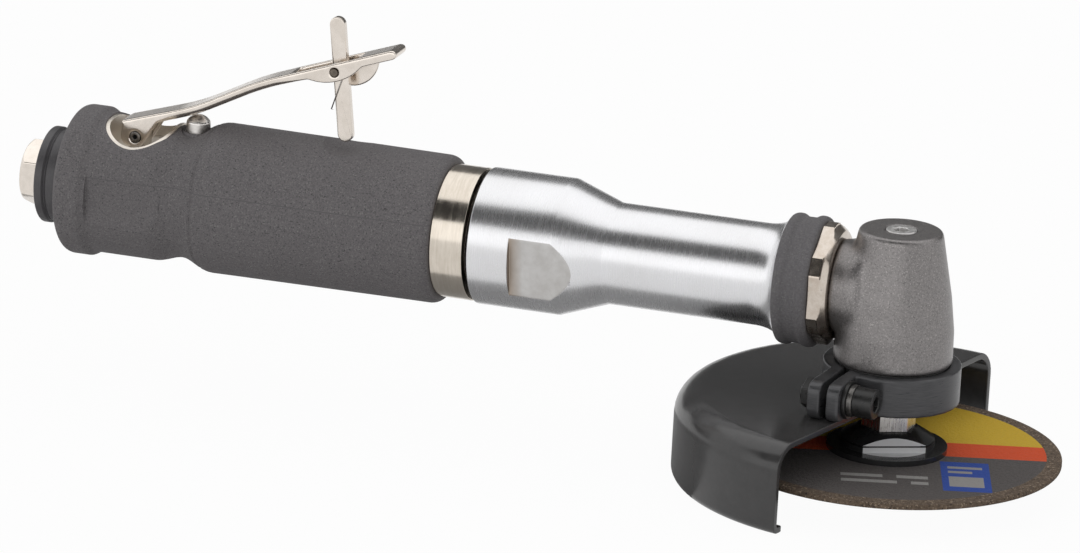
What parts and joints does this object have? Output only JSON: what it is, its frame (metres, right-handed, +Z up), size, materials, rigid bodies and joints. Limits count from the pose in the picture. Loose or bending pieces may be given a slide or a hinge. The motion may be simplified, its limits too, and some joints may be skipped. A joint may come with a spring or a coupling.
{
  "type": "pneumatic cut-off tool",
  "caption": "Hand-held air tool with a long grip, lever throttle with safety latch, steel extension and right-angle head that spins a thin cutting disc under a half-round guard.",
  "frame": {"origin": "centre of the air inlet's mouth, on the tool's axis", "axes": "+X runs along the tool from the inlet to the angle head, +Z up along the spindle and away from the wheel, +Y to the tool's left seen from the inlet"},
  "size_m": [0.3183, 0.1217, 0.1175],
  "materials": {
    "grip_rubber": "speckled charcoal, matte",
    "black_rubber": "matte black rubber",
    "nickel": "warm nickel plate, satin",
    "steel": "turned steel",
    "dark_steel": "blackened steel",
    "housing_metal": "machined aluminium",
    "head_metal": "dark grey hammered coat",
    "black_metal": "semi-gloss black",
    "collar_plastic": "black moulding",
    "felt": "grey felt",
    "brass": "turned brass",
    "vane": "laminated composite",
    "abrasive": "resin-bonded grit"
  },
  "bodies": {
    "handle": {"grip_sleeve": "grip_rubber", "rubber_ring": "black_rubber", "inlet_bushing": "nickel", "lock_ring": "nickel", "head_lock_nut": "nickel", "extension_housing": "steel", "valve_spring": "steel", "grease_plug": "steel", "liner_dowels": "steel", "motor_bearings": "steel", "drive_bearings": "steel", "upper_spindle_bearing": "steel", "lower_spindle_bearing": "steel", "cylinder_liner": "steel", "rear_end_plate": "steel", "front_end_plate": "steel", "lever_pin": "dark_steel", "bearing_retainer": "dark_steel", "motor_housing": "housing_metal", "angle_head": "head_metal", "exhaust_collar": "collar_plastic", "valve_bushing": "collar_plastic", "muffler_felt": "felt", "inlet_screen": "brass", "valve_seat": "brass"},
    "rotor": {"rotor": "steel", "rotor_vanes": "vane", "drive_shaft": "steel", "bevel_pinion": "steel"},
    "spindle": {"spindle": "steel", "bevel_gear": "steel", "upper_flange": "black_metal", "cut_off_wheel": "abrasive", "lower_flange": "black_metal", "flange_screw": "black_metal"},
    "guard": {"guard_shell": "black_metal", "clamp_band": "black_metal", "clamp_screw": "dark_steel", "clamp_lock_washer": "dark_steel", "clamp_washer": "dark_steel", "clamp_nut": "dark_steel"},
    "lever": {"throttle_lever": "nickel", "latch_pin": "steel", "latch_spring": "steel"},
    "latch": {"lock_latch": "nickel"},
    "valve": {"valve_pin": "steel", "valve_poppet": "black_rubber", "valve_o_ring": "black_rubber"}
  },
  "joints": [
    {"name": "spindle_spin", "type": "hinge", "parent": "handle", "child": "spindle", "pos_m": [0.2675, 0, 0], "axis": [0, 0, 1], "continuous": true},
    {"name": "rotor_spin", "type": "hinge", "parent": "handle", "child": "rotor", "pos_m": [0, 0, 0], "axis": [1, 0, 0], "continuous": true},
    {"name": "guard_turn", "type": "hinge", "parent": "handle", "child": "guard", "pos_m": [0.2675, 0, 0], "axis": [0, 0, 1], "range_deg": [-180, 180]},
    {"name": "throttle", "type": "hinge", "parent": "handle", "child": "lever", "pos_m": [0.0347, 0, 0.0163], "axis": [0, 1, 0], "range_deg": [0, 6], "stiffness_Nm_per_rad": 2, "springref_deg": -8.59},
    {"name": "latch_swing", "type": "hinge", "parent": "lever", "child": "latch", "pos_m": [0.09576, 0, 0.0441], "axis": [0, -1, 0], "range_deg": [0, 76], "deforming": ["latch_spring"]},
    {"name": "valve_slide", "type": "slide", "parent": "handle", "child": "valve", "axis": [0, 0, -1], "range_m": [0, 0.00221], "deforming": ["valve_spring"]}
  ],
  "couplings": [
    {"joint": "rotor_spin", "follows": "spindle_spin", "ratio": -1.5},
    {"joint": "latch_swing", "follows": "throttle", "ratio": 12.666},
    {"joint": "valve_slide", "follows": "throttle", "m_per_rad": 0.0211}
  ]
}
